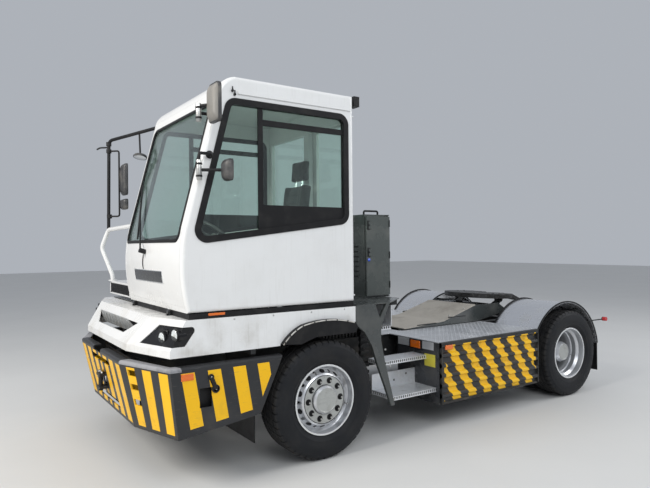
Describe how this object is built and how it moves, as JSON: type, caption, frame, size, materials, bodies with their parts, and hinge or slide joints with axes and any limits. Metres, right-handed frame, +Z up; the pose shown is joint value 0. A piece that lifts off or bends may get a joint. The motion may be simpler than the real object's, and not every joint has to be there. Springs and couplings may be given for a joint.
{
  "type": "terminal tractor",
  "caption": "Two-axle terminal tractor: tilting single-seat cab on the left, faceted bumper, battery boxes with ribbed guards, and a lifting boom with a pitching fifth wheel.",
  "frame": {"origin": "on the ground at the middle of the length and the width", "axes": "+X forward, +Y to the vehicle's left, +Z up"},
  "size_m": [5.86, 2.9, 3.1328],
  "materials": {
    "white_panel": "satin",
    "white_steel": "satin",
    "dark_steel": "satin",
    "grey_steel": "satin",
    "beige_steel": "worn",
    "striped_steel": "matte",
    "black_rubber": "matte",
    "tyre": "matte",
    "silver_rim": "satin",
    "tread_plate": "brushed",
    "mill_aluminium": "brushed",
    "black_plastic": "matte",
    "battery_case": "satin",
    "drive_block": "matte",
    "glass": "gloss",
    "lamp": "gloss",
    "red_lamp": "gloss",
    "seat_fabric": "matte",
    "cast_black": "greasy",
    "chrome_rod": "polished"
  },
  "bodies": {
    "chassis": {"bumper": "striped_steel", "cab_plinth": "black_plastic", "cab_supports": "dark_steel", "cabinet": "grey_steel", "deck": "tread_plate", "drive_motor": "drive_block", "frame_crossmembers": "dark_steel", "frame_rails": "dark_steel", "front_arches": "black_rubber", "front_axle": "dark_steel", "front_skirt": "white_steel", "front_springs": "dark_steel", "headlamps": "lamp", "landing": "tread_plate", "lift_mounts": "dark_steel", "mudflaps": "black_rubber", "outriggers": "dark_steel", "rear_axle": "dark_steel", "rear_mudguards": "mill_aluminium", "side_boxes": "battery_case", "side_guards": "striped_steel", "step_posts": "grey_steel", "steps": "tread_plate", "tail_lamps": "red_lamp", "tow_coupling": "dark_steel"},
    "cab": {"cab_floor": "white_panel", "cab_front": "white_panel", "cab_sides": "white_panel", "cab_roof": "white_panel", "cab_rear": "white_panel", "cab_glass": "glass", "window_seals": "black_rubber", "seat": "seat_fabric", "dashboard": "black_plastic", "steering_wheel": "black_plastic", "air_box": "white_panel", "mirrors": "black_plastic", "wiper": "black_plastic", "work_lamps": "black_plastic"},
    "rear_door": {"rear_door": "white_panel", "door_glass": "glass"},
    "cabinet_door": {"cabinet_door": "grey_steel"},
    "knuckle_left": {"knuckle_left": "dark_steel"},
    "knuckle_right": {"knuckle_right": "dark_steel"},
    "tie_rod": {"tie_rod": "dark_steel"},
    "front_wheel_left": {"front_rim_left": "silver_rim", "front_tyre_left": "tyre"},
    "front_wheel_right": {"front_rim_right": "silver_rim", "front_tyre_right": "tyre"},
    "rear_wheels_left": {"rear_rims_left": "silver_rim", "rear_tyres_left": "tyre"},
    "rear_wheels_right": {"rear_rims_right": "silver_rim", "rear_tyres_right": "tyre"},
    "lift_boom": {"lift_boom": "grey_steel", "lift_ramp": "beige_steel"},
    "fifth_wheel": {"fifth_wheel": "cast_black", "kingpin_jaw": "cast_black"},
    "lift_barrels": {"lift_barrels": "dark_steel"},
    "lift_rods": {"lift_rods": "chrome_rod"}
  },
  "joints": [
    {"name": "cab_tilt", "type": "hinge", "parent": "chassis", "child": "cab", "pos_m": [2.555, 0, 1.29], "axis": [0, 1, 0], "range_deg": [0, 45]},
    {"name": "rear_door_slide", "type": "slide", "parent": "cab", "child": "rear_door", "axis": [0, -1, 0], "range_m": [0, 0.56]},
    {"name": "cabinet_door_hinge", "type": "hinge", "parent": "chassis", "child": "cabinet_door", "pos_m": [0.254, 0.728, 1.7], "axis": [0, 0, 1], "range_deg": [0, 100]},
    {"name": "steer_left", "type": "hinge", "parent": "chassis", "child": "knuckle_left", "pos_m": [1.37, 0.915, 0.5], "axis": [0, 0, 1], "range_deg": [-40, 40]},
    {"name": "steer_right", "type": "hinge", "parent": "chassis", "child": "knuckle_right", "pos_m": [1.37, -0.915, 0.5], "axis": [0, 0, 1], "range_deg": [-40, 40]},
    {"name": "tie_rod_joint", "type": "hinge", "parent": "knuckle_left", "child": "tie_rod", "pos_m": [1.18, 0.915, 0.364], "axis": [0, 0, 1], "range_deg": [-40, 40]},
    {"name": "front_wheel_left_spin", "type": "hinge", "parent": "knuckle_left", "child": "front_wheel_left", "pos_m": [1.37, 1.09, 0.5], "axis": [0, 1, 0], "continuous": true},
    {"name": "front_wheel_right_spin", "type": "hinge", "parent": "knuckle_right", "child": "front_wheel_right", "pos_m": [1.37, -1.09, 0.5], "axis": [0, 1, 0], "continuous": true},
    {"name": "rear_wheels_left_spin", "type": "hinge", "parent": "chassis", "child": "rear_wheels_left", "pos_m": [-2.13, 0.93, 0.5], "axis": [0, 1, 0], "continuous": true},
    {"name": "rear_wheels_right_spin", "type": "hinge", "parent": "chassis", "child": "rear_wheels_right", "pos_m": [-2.13, -0.93, 0.5], "axis": [0, 1, 0], "continuous": true},
    {"name": "boom_lift", "type": "hinge", "parent": "chassis", "child": "lift_boom", "pos_m": [-0.19, 0, 0.715], "axis": [0, 1, 0], "range_deg": [0, 18]},
    {"name": "fifth_wheel_pitch", "type": "hinge", "parent": "lift_boom", "child": "fifth_wheel", "pos_m": [-1.94, 0, 1.088], "axis": [0, 1, 0], "range_deg": [-18, 8]},
    {"name": "lift_barrel_swing", "type": "hinge", "parent": "chassis", "child": "lift_barrels", "pos_m": [-1.09, 0, 0.4], "axis": [0, 1, 0], "range_deg": [0, 9.1]},
    {"name": "lift_rod_slide", "type": "slide", "parent": "lift_barrels", "child": "lift_rods", "axis": [-0.083, 0, 0.9965], "range_m": [0, 0.2845]}
  ],
  "couplings": [
    {"joint": "steer_right", "follows": "steer_left", "ratio": 1},
    {"joint": "tie_rod_joint", "follows": "steer_left", "ratio": -1},
    {"joint": "lift_barrel_swing", "follows": "boom_lift", "ratio": 0.502},
    {"joint": "lift_rod_slide", "follows": "boom_lift", "m_per_rad": 0.9045}
  ]
}
